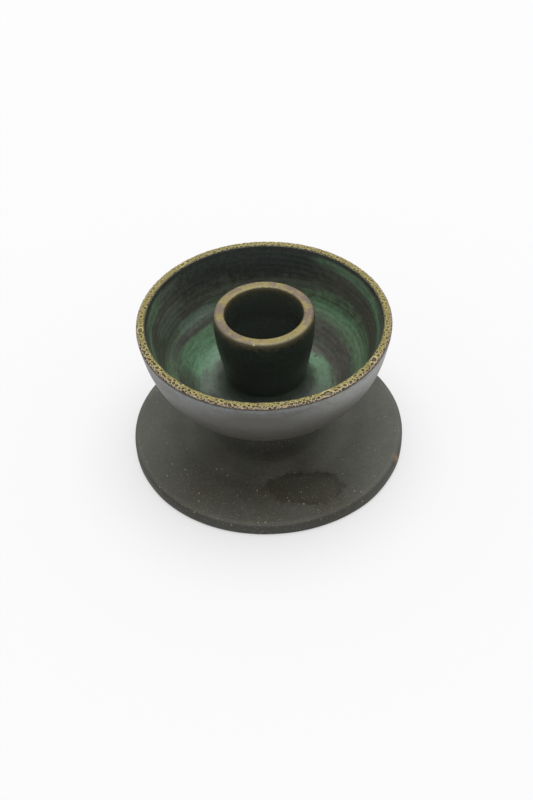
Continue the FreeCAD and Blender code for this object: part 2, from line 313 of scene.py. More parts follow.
def uneven_throwing(points):
    """Moves points by the small unevenness of a pot thrown by hand.

    It is one smooth field for all the pieces, so that pieces that touch still touch. Its waves
    round the pot are in mm at the bowl's widest radius: the foot is fuller on its front
    diagonals, the bowl is slightly oval with a dent at its back right, and its rim sags, mostly
    in front. Nothing sinks below the table.
    """
    x, y, height = np.moveaxis(points, -1, 0)
    radius = np.hypot(x, y)
    angle = np.arctan2(y, x)
    reach = radius / BOWL_RADIUS
    above_foot = smooth_step((height - FOOT_EDGE) / (BOWL_BASE - FOOT_EDGE))
    dent = -0.22 * np.exp(-((angle - 0.85) / 0.4) ** 2)
    bowl_out = dent - 0.10 * np.cos(angle) + 0.08 * np.sin(2 * angle + 0.6)
    bowl_out += 0.04 * np.sin(3 * angle + 2.1)
    bulge = (0.17 + 0.07 * np.cos(angle)) * smooth_step(0.5 - np.sin(angle))
    foot_out = bulge * (1 - np.cos(4 * angle)) - 0.03 + 0.02 * np.sin(5 * angle + 0.4)
    outward = MM * reach * (foot_out + above_foot * (bowl_out - foot_out))
    tilt = 0.66 * np.sin(angle) - 0.20 * np.cos(angle)
    sag = -0.65 + tilt + 0.12 * np.cos(2 * angle) + 0.04 * np.sin(3 * angle + 0.4)
    rise = MM * above_foot * (reach ** 3 * sag - SETTLE)
    scale = 1 + outward / np.maximum(radius, WELD)
    return np.stack([x * scale, y * scale, np.maximum(height + rise, 0)], axis=-1)


def drift(surface, seed, waves=7, stretch=3 * MM):
    """A soft random variation from about -1 to 1, round the pot and along the outline."""
    random = np.random.default_rng(seed)
    total = np.zeros(surface.shape)
    for wave in range(1, waves + 1):
        along = surface.start[:, None] / stretch * random.uniform(-1, 1)
        total += np.sin(wave * surface.round_the_pot + along + random.uniform(0, TURN))
    return total / math.sqrt(waves)


def lumps(surface, size, height, seed, waves=40):
    """Soft dents and swellings about as wide as size, the same in all directions."""
    random = np.random.default_rng(seed)
    heading = random.normal(size=(waves, 3))
    heading /= np.linalg.norm(heading, axis=1, keepdims=True)
    pitch = TURN / (size * random.uniform(1.2, 2.4, waves))
    total = np.zeros(surface.shape)
    for direction, rate in zip(heading, pitch):
        total += np.sin(rate * (surface.rest @ direction) + random.uniform(0, TURN))
    surface.raise_by(height * total / math.sqrt(waves) * surface.edge_fade(1.5 * MM))


def throwing_rings(surface, pitch, height, seed):
    """The spiral ridges that fingers or a trimming tool leave, uneven in height and spacing."""
    wander = 0.18 * drift(surface, seed, waves=3, stretch=6 * MM)
    spiral = surface.start[:, None] / pitch + surface.round_the_pot / TURN + wander
    strength = 0.6 + 0.4 * drift(surface, seed + 1, waves=4, stretch=5 * MM)
    surface.raise_by(height * strength * np.sin(TURN * spiral) * surface.edge_fade(2 * MM))


def run_over(surface, least, most, lift, seed):
    """Lets a rim glaze run past both of its edges, in a thin wavy tongue over the next glaze.

    Its very edge dips into the next glaze, so that no gap shows under the tongue.
    """
    reach = 0.8 * MM
    dip = 0.06 * MM
    seen = surface.seen[:, None]
    for side, distance in ((-1, surface.start), (1, surface.end)):
        coarse = drift(surface, seed, waves=9)
        fine = drift(surface, seed + 1, waves=60, stretch=1)
        run = least + (most - least) * np.clip(0.5 + 0.3 * (coarse + fine), 0, 1)
        near = 1 - smooth_step(distance / reach)[:, None]
        surface.slide += np.where(seen, side * run * near, 0)
        edge = distance[:, None] < WELD
        surface.out += np.where(seen & edge, -dip, np.where(seen, lift * near, 0))
        seed += 2


def mark_spots(surface, name, spots, height):
    """Small round bumps, or pits where the height is negative, with a mark on them."""
    mark = np.zeros(surface.shape)
    for azimuth, radius, level, size in spots:
        angle = math.radians(azimuth)
        place = MM * np.array([radius * math.cos(angle), radius * math.sin(angle), level])
        distance = np.linalg.norm(surface.rest - place, axis=-1) / (size * MM)
        mark = np.maximum(mark, smooth_step(1.5 - distance))
    surface.raise_by(height * mark)
    surface.marks[name] = mark


# ---- craters ----------------------------------------------------------------------------------

# A burst bubble. Its middle is a distance around the rim from azimuth 0 and a distance across it
# from its outer edge, its size is its radius, and squash is its width as a share of its length.
Crater = namedtuple("Crater", "around across size squash")

# The largest burst bubbles of the bowl's rim: azimuth in degrees, place across the rim from its
# outer edge (0) to its inner edge (1), radius in mm, and squash.
LARGE_CRATERS = (
    (174, 0.55, 0.65, 0.80),
    (180, 0.62, 0.55, 0.80),
    (186, 0.52, 1.15, 0.75),
    (198, 0.48, 0.70, 0.80),
    (203, 0.50, 0.80, 0.80),
    (213, 0.50, 0.85, 0.75),
    (223, 0.44, 0.75, 0.80),
    (231, 0.42, 0.60, 0.80),
    (238, 0.40, 0.55, 0.75),
    (264, 0.38, 0.60, 0.70),
    (276, 0.40, 0.50, 0.80),
    (284, 0.43, 0.75, 0.65),
    (297, 0.43, 1.70, 0.55),
    (306, 0.42, 0.85, 0.70),
    (327, 0.50, 1.10, 0.75),
    (338, 0.50, 0.70, 0.80),
    (12, 0.52, 0.80, 0.75),
    (47, 0.45, 0.60, 0.80),
    (76, 0.50, 0.90, 0.70),
    (101, 0.44, 0.65, 0.80),
    (133, 0.55, 1.00, 0.70),
    (158, 0.46, 0.70, 0.80),
)


SMALL_TRIES = 5200          # small craters that are tried, of which many find no room
SMALL_RADII = (0.24, 0.48)  # mm
MEDIUM_RADII = (0.45, 0.8)
SMALL_SQUASH = (0.5, 0.9)
CLOSEST = 0.76              # the distance of two craters, as a share of their radii together
CRATER_REACH = 1.7          # how far a crater shapes the glaze, as a share of its radius
LARGEST_LEAN = 0.35         # radians that a crater's long way is off the direction round the rim
DEPTHS = (0.55, 1.0)        # as a share of what a crater's size allows
DEEPEST = 0.3 * MM
HIGHEST = 0.15 * MM
RIM_EDGE = 0.35 * MM        # how far from the edges of the glaze the craters have their full relief


def add_small_craters(random, count, width, length, kept):
    """Adds randomly placed craters, largest first, that overlap their neighbours a little.

    They crowd the outer half of the rim, and are rarer and larger on the inner half.
    """
    across = random.uniform(0, 1, count)
    small = random.uniform(*SMALL_RADII, count)
    medium = random.uniform(*MEDIUM_RADII, count)
    crowded = smooth_step((0.62 - across) / 0.25)
    size = MM * np.where(random.uniform(size=count) < 0.16 + 0.3 * (1 - crowded), medium, small)
    around = random.uniform(0, length, count)
    dropped = random.uniform(size=count) > 0.22 + 0.78 * crowded
    places = [(crater.around, crater.across) for crater in kept]
    sizes = [crater.size for crater in kept]
    for index in np.argsort(-size):
        place = (around[index], across[index] * width)
        gap = np.abs(np.array(places) - place)
        gap[:, 0] = np.minimum(gap[:, 0], length - gap[:, 0])
        crowding = np.hypot(*gap.T) / (np.array(sizes) + size[index])
        if dropped[index] or crowding.min() < CLOSEST:
            continue
        places.append(place)
        sizes.append(size[index])
        kept.append(Crater(*place, size[index], random.uniform(*SMALL_SQUASH)))


def crater_distance(crater, lean, ripples, aside, upward):
    """How far points are from a crater's middle, as a share of its uneven radius."""
    long_way = aside * math.cos(lean) + upward * math.sin(lean)
    short_way = (upward * math.cos(lean) - aside * math.sin(lean)) / crater.squash
    bearing = np.arctan2(short_way, long_way)
    wobble = 0.12 * np.sin(2 * bearing + ripples[0])
    wobble += 0.10 * np.sin(3 * bearing + ripples[1])
    return np.hypot(long_way, short_way) / (crater.size * (1 + wobble))


def crater_glaze(surface, seed):
    """Burst bubbles all over a rim glaze: each is a pit inside a raised ring."""
    random = np.random.default_rng(seed)
    rows = np.flatnonzero(surface.seen)
    along = surface.start[rows]
    width = along[-1]
    length = TURN * float(np.mean(surface.profile[rows, 0]))
    column_step = length / surface.columns
    craters = [
        Crater(azimuth / 360 * length, across * width, radius * MM, squash)
        for azimuth, across, radius, squash in LARGE_CRATERS
    ]
    add_small_craters(random, SMALL_TRIES, width, length, craters)
    pit = np.zeros(surface.shape)
    ring = np.zeros(surface.shape)
    relief = np.zeros(surface.shape)
    for crater in craters:
        size = crater.size
        lean = random.uniform(-LARGEST_LEAN, LARGEST_LEAN)
        depth = random.uniform(*DEPTHS)
        ripples = random.uniform(0, TURN, 2)
        reach = CRATER_REACH * size
        near_rows = rows[np.abs(along - crater.across) < reach]
        first = math.floor((crater.around - reach) / column_step)
        steps = np.arange(first, math.ceil((crater.around + reach) / column_step))
        aside = (steps * column_step - crater.around)[None, :]
        upward = (surface.start[near_rows] - crater.across)[:, None]
        distance = crater_distance(crater, lean, ripples, aside, upward)

        large = smooth_step((size / MM - 0.7) / 0.4)
        hole = smooth_step((0.92 - distance) / 0.42) * depth
        wall = np.exp(-((distance - 1.0 - 0.05 * large) / (0.26 + 0.04 * large)) ** 2)
        lip = np.exp(-((distance - 0.72) / 0.14) ** 2)
        burnt = np.maximum(hole * min(1, 0.75 * MM / size), 0.85 * large * lip)
        window = np.ix_(near_rows, steps % surface.columns)
        pit[window] = np.maximum(pit[window], burnt)
        ring[window] = np.maximum(ring[window], wall * (1 + 0.8 * large))
        relief[window] += min(size, 0.6 * MM) * (0.18 * wall - 0.6 * hole)
    fade = surface.edge_fade(RIM_EDGE)
    surface.raise_by(np.clip(relief, -DEEPEST, HIGHEST) * fade)
    surface.marks["pit"] = pit * fade
    surface.marks["ring"] = ring * fade
    mark_across(surface)


def mark_across(surface):
    """Marks where each point lies across a rim glaze, from its outer edge (0) to its inner (1)."""
    across = surface.start / surface.start[surface.seen].max()
    surface.marks["across"] = np.broadcast_to(across[:, None], surface.shape).copy()


# ---- materials --------------------------------------------------------------------------------

def srgb(red, green, blue):
    """A linear colour from display values of 0 to 255."""
    linear = []
    for value in (red, green, blue):
        share = value / 255
        linear.append(share / 12.92 if share <= 0.04045 else ((share + 0.055) / 1.055) ** 2.4)
    return (*linear, 1)


class Look:
    """A material being built. Most methods add nodes and return the last one's output socket.

    place is the point in mm, height and radius are its own, climb is their sum, and direction is
    the level unit vector from the axis to the point.
    """

    def __init__(self, name):
        self.material = bpy.data.materials.new(name)
        self.material.use_nodes = True
        self.tree = self.material.node_tree
        self.shader = self.tree.nodes["Principled BSDF"]
        metres = self.add("TexCoord", output="Object")
        self.place = self.vector_math("SCALE", metres, scale=1 / MM)
        axes = self.tree.nodes.new("ShaderNodeSeparateXYZ")
        self.tree.links.new(self.place, axes.inputs[0])
        x, y, self.height = axes.outputs
        flat = self.add("CombineXYZ", {0: x, 1: y})
        self.radius = self.vector_math("LENGTH", flat, output="Value")
        self.direction = self.vector_math("NORMALIZE", flat)
        self.climb = self.math("ADD", self.radius, self.height)

    def add(self, kind, inputs=None, output=0, **settings):
        node = self.tree.nodes.new(f"ShaderNode{kind}")
        for name, value in settings.items():
            setattr(node, name, value)
        for name, value in (inputs or {}).items():
            self.feed(node.inputs[name], value)
        return node.outputs[output]

    def feed(self, socket, value):
        if isinstance(value, bpy.types.NodeSocket):
            self.tree.links.new(value, socket)
        else:
            socket.default_value = value

    def math(self, operation, *values, clamp=False):
        return self.add("Math", dict(enumerate(values)), operation=operation, use_clamp=clamp)

    def vector_math(self, operation, *values, scale=None, output="Vector"):
        inputs = dict(enumerate(values))
        if scale is not None:
            inputs["Scale"] = scale
        return self.add("VectorMath", inputs, output=output, operation=operation)

    def mix(self, share, low, high):
        """A colour between two others."""
        return self.add("Mix", {0: share, 6: low, 7: high}, output=2, data_type="RGBA")

    def paint(self, color, share, coat, strength=1.0):
        """A colour with a coat over it, whose opacity is share times strength."""
        if strength != 1.0:
            share = self.math("MULTIPLY", share, strength)
        return self.mix(share, color, srgb(*coat))

    def between(self, value, low, high, to_low=0.0, to_high=1.0):
        """A smooth change from to_low to to_high while the value goes from low to high."""
        inputs = {0: value, 1: low, 2: high, 3: to_low, 4: to_high}
        return self.add("MapRange", inputs, interpolation_type="SMOOTHSTEP")

    def noise(self, place, scale, detail=3.0, roughness=0.55):
        inputs = {"Vector": place, "Scale": scale, "Detail": detail, "Roughness": roughness}
        return self.add("TexNoise", inputs)

    def mark(self, name):
        """The values that the mesh code stored at its points under a name."""
        return self.add("Attribute", output="Fac", attribute_name=name)

    def shade(self, color, factor):
        """A colour made darker or lighter."""
        return self.vector_math("SCALE", color, scale=factor)

    def mix_values(self, share, low, high):
        """A number between two others."""
        return self.add("Mix", {0: share, 2: low, 3: high}, output=0, data_type="FLOAT")

    def shifted(self, offset):
        """The place in mm, moved so that a second texture differs from the first."""
        return self.vector_math("ADD", self.place, (offset, -offset, 0.5 * offset))

    def toward(self, azimuth):
        """The cosine of the angle round the pot from an azimuth in degrees."""
        angle = math.radians(azimuth)
        heading = (math.cos(angle), math.sin(angle), 0)
        return self.vector_math("DOT_PRODUCT", self.direction, heading, output="Value")

    def sector(self, azimuth, half_width, core=0.3):
        """1 in the core share round an azimuth, falling to 0 at half_width degrees from it."""
        full = math.cos(math.radians(core * half_width))
        none = math.cos(math.radians(half_width))
        return self.between(self.toward(azimuth), none, full)

    def band(self, value, level, half_height, outside=0.0, inside=1.0, core=0.3):
        """The inside value where a value is near a level, the outside one from half_height off."""
        offset = self.math("ABSOLUTE", self.math("SUBTRACT", value, level))
        return self.between(offset, half_height, core * half_height, outside, inside)

    def specks(self, scale, size, share, shift=0.0):
        """Small round specks in a share of the cells of a grid; scale is per mm, size in mm."""
        place = self.shifted(shift) if shift else self.place
        cells = {"Vector": place, "Scale": scale}
        distance = self.add("TexVoronoi", cells, output="Distance")
        chance = self.add("SeparateColor", {0: self.add("TexVoronoi", cells, output="Color")})
        reach = size * scale
        speck = self.between(distance, reach, 0.6 * reach)
        return self.math("MULTIPLY", speck, self.math("LESS_THAN", chance, share))

    def brushed(self, round_scale, up_scale, up=None):
        """Coordinates that stretch a texture round the pot, as a brush or a wheel does."""
        around = self.vector_math("SCALE", self.direction, scale=round_scale)
        rise = self.math("MULTIPLY", self.climb if up is None else up, up_scale)
        return self.vector_math("ADD", around, self.add("CombineXYZ", {2: rise}))

    def finish(self, color, roughness, bump=None, bump_height=0.05 * MM, specular=0.5):
        self.feed(self.shader.inputs["Base Color"], color)
        self.feed(self.shader.inputs["Roughness"], roughness)
        self.shader.inputs["Specular IOR Level"].default_value = specular
        if bump is not None:
            inputs = {"Height": bump, "Distance": bump_height, "Strength": 1.0}
            self.feed(self.shader.inputs["Normal"], self.add("Bump", inputs))
        return self.material


# Marks on the foot, in mm
SCORCH_CENTRE = (42.9, -18.4, 3.6)
STAIN_CENTRE = (11.8, -31.4, 0)
STAIN_HALF_LENGTH = 13.4
STAIN_HALF_WIDTH = 7.2
FRONT = 262                 # degrees: the side where the foot is browner and the rim foamier


def foot_clay():
    """Unglazed dark stoneware: cloudy, with pale grog, iron specks, an oily stain and a scorch.

    Its top has painted shade round the stem under the bowl, a ring of painted light out from it, a
    painted highlight along its edge and painted shade on its side.
    """
    look = Look("foot_clay")
    cloud = look.noise(look.place, 0.07, detail=5.0, roughness=0.6)
    mottle = look.noise(look.place, 0.9, detail=4.0, roughness=0.65)
    color = look.mix(look.between(cloud, 0.32, 0.68), srgb(69, 70, 63), srgb(82, 82, 75))
    warm = look.noise(look.shifted(31.0), 0.06, detail=4.0)
    front = look.sector(FRONT, 70)
    brown = look.math("MULTIPLY", look.between(warm, 0.3, 0.7, 0.3, 1.0), front)
    color = look.paint(color, brown, (61, 58, 45), 0.85)
    color = look.shade(color, look.between(front, 0.0, 1.0, 1.0, 0.88))
    color = look.shade(color, look.between(mottle, 0.25, 0.75, 0.88, 1.12))
    # Painted light: the top is made up to 1.45 times lighter in a ring from 16 to 32 mm out.
    color = look.shade(color, look.band(look.radius, 24.0, 8.0, 1.0, 1.45))
    # Painted shade under the bowl: the clay darkens towards the stem, and the same darkening shows
    # on the underside.
    color = look.shade(color, look.between(look.radius, 21.0, 15.0, 1.0, 0.45))

    ragged = look.noise(look.place, 0.3, detail=6.0, roughness=0.75)
    warp = look.math("MULTIPLY", look.math("SUBTRACT", ragged, 0.5), 1.1)
    offset = look.vector_math("SUBTRACT", look.place, STAIN_CENTRE)
    offset = look.vector_math("MULTIPLY", offset, (1 / STAIN_HALF_LENGTH, 1 / STAIN_HALF_WIDTH, 0))
    reach = look.math("ADD", look.vector_math("LENGTH", offset, output="Value"), warp)
    stain = look.between(reach, 1.08, 0.9)
    patchy = look.between(look.noise(look.shifted(51.0), 0.22, detail=4.0), 0.35, 0.65, 0.15, 0.7)
    rightwards = look.vector_math("DOT_PRODUCT", offset, (1, 0.4, 0), output="Value")
    patchy = look.math("MULTIPLY", patchy, look.between(rightwards, -0.9, 0.3, 0.25, 1.25))
    outline = look.math("MULTIPLY", look.between(reach, 0.6, 0.95), stain)
    color = look.paint(color, stain, (50, 48, 35), 0.6)
    color = look.paint(color, look.math("MULTIPLY", outline, patchy), (33, 33, 26))

    # Painted highlight: a lighter line along the rounded top edge of the foot.
    edge_highlight = look.band(look.radius, 45.2, 0.5)
    color = look.shade(color, look.between(edge_highlight, 0.0, 1.0, 1.0, 1.12))
    # Painted shade: the outer rounding and side face of the foot are made darker.
    side_shade = look.between(look.radius, 46.0, 46.5)
    color = look.shade(color, look.between(side_shade, 0.0, 1.0, 1.0, 0.62))
    offset = look.vector_math("SUBTRACT", look.place, SCORCH_CENTRE)
    speckled = look.noise(look.place, 0.9, detail=5.0, roughness=0.7)
    ragged = look.between(speckled, 0.3, 0.7, -0.9, 0.9)
    reach = look.math("ADD", look.vector_math("LENGTH", offset, output="Value"), ragged)
    scorch = look.between(reach, 1.9, 0.6)
    color = look.paint(color, scorch, (124, 90, 64), 0.75)

    open_clay = look.between(look.radius, 21.0, 30.0)
    scattered = look.math("MULTIPLY", open_clay, look.between(front, 0.0, 1.0, 0.45, 1.0))
    grog = look.math("MULTIPLY", look.specks(0.42, 0.3, 0.55), scattered)
    color = look.paint(color, grog, (164, 152, 124), 0.85)
    fine_grog = look.specks(0.8, 0.16, 0.6)
    fine_grog = look.math("MULTIPLY", fine_grog, look.math("MULTIPLY", scattered, 0.8))
    color = look.paint(color, fine_grog, (132, 122, 98))
    dusted = look.math("MULTIPLY", look.specks(1.0, 0.24, 0.85, shift=40.0), front)
    color = look.paint(color, dusted, (120, 108, 82), 0.55)
    iron = look.specks(0.45, 0.2, 0.6, shift=17.0)
    color = look.paint(color, iron, (34, 32, 28), 0.7)

    grain = look.noise(look.place, 3.2, detail=4.0, roughness=0.7)
    rough = look.mix_values(stain, look.between(cloud, 0.3, 0.7, 0.58, 0.68), 0.48)
    bump = look.math("ADD", grain, look.math("MULTIPLY", grog, 0.8))
    return look.finish(color, rough, bump, 0.035 * MM, specular=0.4)


def grey_glaze():
    """Satin blue-grey glaze that turns darker and olive brown downwards, with a brown line at its
    top.

    It has a painted highlight in a band just below the rim and another on the right side.
    """
    look = Look("grey_glaze")
    cloud = look.noise(look.brushed(2.2, 0.12), 1.0, detail=4.0)
    mottle = look.noise(look.place, 0.8, detail=5.0, roughness=0.75)
    blotch = look.noise(look.shifted(23.0), 0.3, detail=4.0, roughness=0.6)
    level = look.math("ADD", look.height, look.between(cloud, 0.3, 0.7, -2.6, 2.6))
    color = look.mix(look.between(level, 24.0, 40.0), srgb(60, 58, 51), srgb(66, 65, 60))
    color = look.paint(color, look.between(level, 43.6, 51.4), (96, 98, 98))
    # Painted highlight: a lighter band just below the rim.
    below_rim_highlight = look.band(look.height, 50.6, 1.6)
    color = look.paint(color, below_rim_highlight, (112, 115, 115), 0.5)
    # Painted highlight: the glaze is made lighter on the right side, from 41 to 49 mm up.
    pale = look.math("MULTIPLY", look.sector(322, 40), look.between(look.height, 41.0, 49.0))
    color = look.paint(color, pale, (128, 130, 125), 0.85)
    color = look.shade(color, look.between(mottle, 0.25, 0.75, 0.8, 1.2))
    color = look.paint(color, look.between(blotch, 0.48, 0.72, 0.0, 0.45), (74, 69, 59))

    ragged = look.between(look.noise(look.place, 0.9, detail=3.0), 0.25, 0.75, -0.14, 0.14)
    line = look.between(look.math("ADD", look.height, ragged), 50.55, 50.95)
    color = look.paint(color, line, (50, 45, 39))
    near_rim = look.between(look.height, 41.0, 50.0)
    pinholes = look.math("MULTIPLY", look.specks(0.7, 0.24, 0.5), near_rim)
    pinholes = look.math("MAXIMUM", pinholes, look.specks(0.35, 0.26, 0.4, shift=5.0))
    color = look.paint(color, pinholes, (44, 41, 36), 0.75)

    rough = look.between(mottle, 0.25, 0.75, 0.33, 0.45)
    bump = look.math("SUBTRACT", mottle, look.math("MULTIPLY", pinholes, 0.9))
    return look.finish(color, rough, bump, 0.06 * MM)


def ochre_glaze():
    """Foamy ochre glaze: pale crests, dark pits, and a mauve outer band crowded with fine pits.

    It is thickest in front, where its pits are darkest.
    """
    look = Look("ochre_glaze")
    across = look.mark("across")
    pit = look.mark("pit")
    ring = look.mark("ring")
    cloud = look.noise(look.place, 0.35, detail=3.0)
    mottle = look.noise(look.place, 1.8, detail=4.0, roughness=0.65)
    color = look.mix(look.between(cloud, 0.35, 0.65), srgb(109, 102, 42), srgb(130, 121, 56))
    color = look.paint(color, look.between(mottle, 0.3, 0.7, 0.0, 0.6), (102, 90, 40))

    ragged = look.between(look.noise(look.place, 0.7, detail=3.0), 0.3, 0.7, -0.04, 0.04)
    place = look.math("ADD", across, ragged)
    mauve = look.between(place, 0.36, 0.24)
    color = look.paint(color, mauve, (132, 115, 94), 0.85)
    crest = look.math("MULTIPLY", ring, look.between(mottle, 0.2, 0.6, 0.3, 0.9))
    ridge = look.mix(mauve, srgb(171, 158, 100), srgb(168, 150, 122))
    color = look.mix(crest, color, ridge)

    cells = look.brushed(50.0, 11.0, up=across)
    bubble = look.add("TexVoronoi", {"Vector": cells, "Scale": 1.0}, output="Distance")
    foam = look.between(bubble, 0.2, 0.42)
    fizz = look.math("SUBTRACT", 1.0, foam)
    fizz = look.math("MULTIPLY", fizz, look.between(place, 0.3, 0.55, 0.95, 0.4))
    thick = look.between(look.toward(FRONT), 0.0, 0.6, 0.45, 1.0)
    color = look.paint(color, look.math("MULTIPLY", fizz, thick), (58, 48, 34))
    hole = look.math("MULTIPLY", look.between(pit, 0.12, 0.5), thick)
    color = look.paint(color, hole, (46, 38, 21))

    color = look.shade(color, look.between(thick, 0.45, 1.0, 0.93, 1.0))

    outer_edge = look.between(place, 0.15, 0.07)
    color = look.paint(color, outer_edge, (50, 44, 37))
    inner_edge = look.between(place, 0.80, 0.89)
    color = look.paint(color, inner_edge, (62, 62, 50), 0.9)

    rough = look.between(mottle, 0.3, 0.7, 0.36, 0.5)
    bump = look.math("ADD", look.math("MULTIPLY", foam, 0.6), mottle)
    return look.finish(color, rough, bump, 0.05 * MM)


# The brushed patches of the bowl's lining, painted in this order. Azimuth and half width are
# degrees; climb, which is radius plus height, and half height are mm; slope is mm of climb per
# radian of azimuth near the patch's middle.
Patch = namedtuple("Patch", "azimuth half_width climb half_height slope strength color")
MINT = (108, 148, 119)
JADE = (91, 127, 96)
GREEN = (82, 114, 85)
MOSS = (88, 112, 85)
OLIVE = (74, 82, 71)
BROWN = (66, 66, 56)
PLUM = (80, 76, 69)
SHADOW = (81, 90, 80)
SAGE = (92, 106, 93)
DUSK = (62, 64, 57)
INDIGO = (28, 35, 33)
LINING_PATCHES = (
    Patch(98, 54, 84.5, 11.0, 0, 0.88, INDIGO),
    Patch(10, 54, 85.2, 3.0, 4, 0.62, GREEN),
    Patch(0, 20, 84.6, 2.0, 4, 0.5, JADE),
    Patch(190, 36, 83.6, 3.6, -7, 0.7, GREEN),
    Patch(200, 20, 83.6, 2.0, -7, 0.5, JADE),
    Patch(185, 44, 70.5, 9.5, 0, 0.25, MOSS),
    Patch(20, 56, 67.0, 10.0, 0, 0.9, MOSS),
    Patch(42, 26, 68.5, 4.0, 0, 0.5, JADE),
    Patch(134, 26, 68.4, 4.2, 0, 0.25, JADE),
    Patch(174, 34, 73.0, 6.0, 0, 0.5, BROWN),
    Patch(158, 18, 77.5, 6.0, 0, 0.4, SAGE),
    Patch(22, 36, 55.0, 6.5, 7, 0.75, PLUM),
    Patch(4, 46, 44.6, 4.6, 0, 0.7, GREEN),
    Patch(16, 31, 44.4, 3.4, 0, 0.4, JADE),
    Patch(33, 16, 43.4, 2.8, 0, 0.4, MINT),
    Patch(176, 40, 46.0, 8.0, 0, 0.8, SAGE),
    Patch(150, 42, 54.5, 11.0, 0, 0.85, GREEN),
    Patch(148, 28, 51.5, 8.0, 0, 0.6, JADE),
    Patch(152, 26, 48.5, 4.5, 0, 0.4, MINT),
    Patch(148, 30, 63.4, 2.6, -2, 0.75, DUSK),
    Patch(136, 18, 67.5, 4.5, 0, 0.7, SAGE),
    Patch(190, 20, 54.0, 8.0, 0, 0.6, BROWN),
    Patch(205, 32, 66.0, 6.0, 0, 0.7, MOSS),
    Patch(236, 30, 58.0, 4.0, 3, 0.5, PLUM),
    Patch(222, 34, 76.5, 4.0, 0, 0.7, BROWN),
    Patch(262, 40, 70.0, 5.0, -3, 0.75, MOSS),
    Patch(250, 30, 84.5, 3.4, 0, 0.8, GREEN),
    Patch(300, 36, 56.0, 6.0, 2, 0.8, GREEN),
    Patch(318, 24, 55.0, 4.0, 2, 0.7, JADE),
    Patch(312, 34, 84.0, 5.0, 0, 0.85, INDIGO),
    Patch(340, 28, 74.5, 4.0, 0, 0.75, BROWN),
    Patch(282, 84, 43.0, 6.0, 0, 0.9, SHADOW),
    Patch(224, 36, 45.0, 8.0, 0, 0.8, INDIGO),
)


def green_glaze():
    """Copper green brushed over dark brown in turning strokes, thickest round the well cup.

    The cove round the cup's foot has painted shade.
    """
    look = Look("green_glaze")
    streak = look.noise(look.brushed(4.0, 0.8), 1.0, detail=5.0, roughness=0.62)
    fine_streak = look.noise(look.brushed(9.0, 2.6), 1.0, detail=3.0)
    sweep = look.noise(look.brushed(1.3, 0.3), 1.0, detail=4.0)
    mottle = look.noise(look.place, 0.75, detail=4.0, roughness=0.65)
    wander = look.between(sweep, 0.3, 0.7, -1.3, 1.3)
    climb = look.math("ADD", look.climb, wander)
    fleck = look.noise(look.shifted(14.0), 0.4, detail=6.0, roughness=0.7)
    stroke = look.math("ADD", look.math("MULTIPLY", streak, 0.55), fleck)
    feather = look.between(stroke, 0.5, 1.05, -0.34, 0.46)

    color = look.mix(look.between(sweep, 0.35, 0.65), srgb(*OLIVE), srgb(*BROWN))
    ring = look.band(climb, 79.5, 7.0)
    color = look.paint(color, ring, BROWN, 0.85)
    for patch in LINING_PATCHES:
        turned = look.math("MULTIPLY", look.toward(patch.azimuth + 90), patch.slope)
        level = look.math("SUBTRACT", climb, turned) if patch.slope else climb
        window = look.math(
            "MULTIPLY",
            look.sector(patch.azimuth, 1.15 * patch.half_width, core=0.1),
            look.band(level, patch.climb, 1.15 * patch.half_height, core=0.1),
        )
        cover = look.between(look.math("ADD", window, feather), 0.0, 1.0, 0.0, patch.strength)
        cover = look.math("MULTIPLY", cover, look.between(window, 0.0, 0.3))
        color = look.paint(color, cover, patch.color)
    under_rim = look.between(look.height, 50.6, 51.7)
    color = look.paint(color, under_rim, (32, 34, 31), 0.85)
    # Painted shade: the glaze darkens in the cove round the cup's foot.
    cove_shade = look.between(look.radius, 18.5, 15.0)
    color = look.paint(color, cove_shade, (54, 61, 54), 0.75)
    color = look.shade(color, look.between(streak, 0.3, 0.7, 0.79, 1.05))
    color = look.shade(color, look.between(fine_streak, 0.3, 0.7, 0.95, 1.05))
    color = look.shade(color, look.between(mottle, 0.3, 0.7, 0.86, 1.14))
    color = look.paint(color, look.mark("pimple"), (38, 36, 32))

    rough = look.between(mottle, 0.25, 0.75, 0.44, 0.58)
    bump = look.math("ADD", look.math("MULTIPLY", streak, 0.5), mottle)
    return look.finish(color, rough, bump, 0.05 * MM)


def black_glaze():
    """Near-black glaze that breaks to olive brown where it thins below the cup's rim.

    Inside the well's bore it is painted lighter, as painted light that lifts the deep shade there.
    """
    look = Look("black_glaze")
    mottle = look.noise(look.place, 0.7, detail=4.0, roughness=0.6)
    streak = look.noise(look.brushed(3.0, 0.6), 1.0, detail=4.0)
    color = look.mix(look.between(mottle, 0.3, 0.7), srgb(27, 33, 29), srgb(40, 45, 40))
    color = look.paint(color, look.between(streak, 0.45, 0.75, 0.0, 0.6), (46, 50, 40))
    # Painted light: inside the well's bore the glaze is made lighter than outside, which lifts the
    # deep shade of the hole.
    depth = look.between(look.radius, 13.2, 12.2)
    color = look.mix(depth, color, look.mix(mottle, srgb(50, 57, 51), srgb(64, 69, 60)))
    ragged = look.between(mottle, 0.25, 0.75, -0.9, 0.9)
    halo = look.between(look.math("ADD", look.height, ragged), 51.4, 53.8)
    color = look.paint(color, halo, (70, 65, 44), 0.9)
    olive = look.specks(0.34, 0.6, 0.6)
    color = look.paint(color, olive, (58, 58, 42), 0.4)
    rough = look.between(mottle, 0.25, 0.75, 0.36, 0.5)
    return look.finish(color, rough, look.math("ADD", mottle, streak), 0.06 * MM)


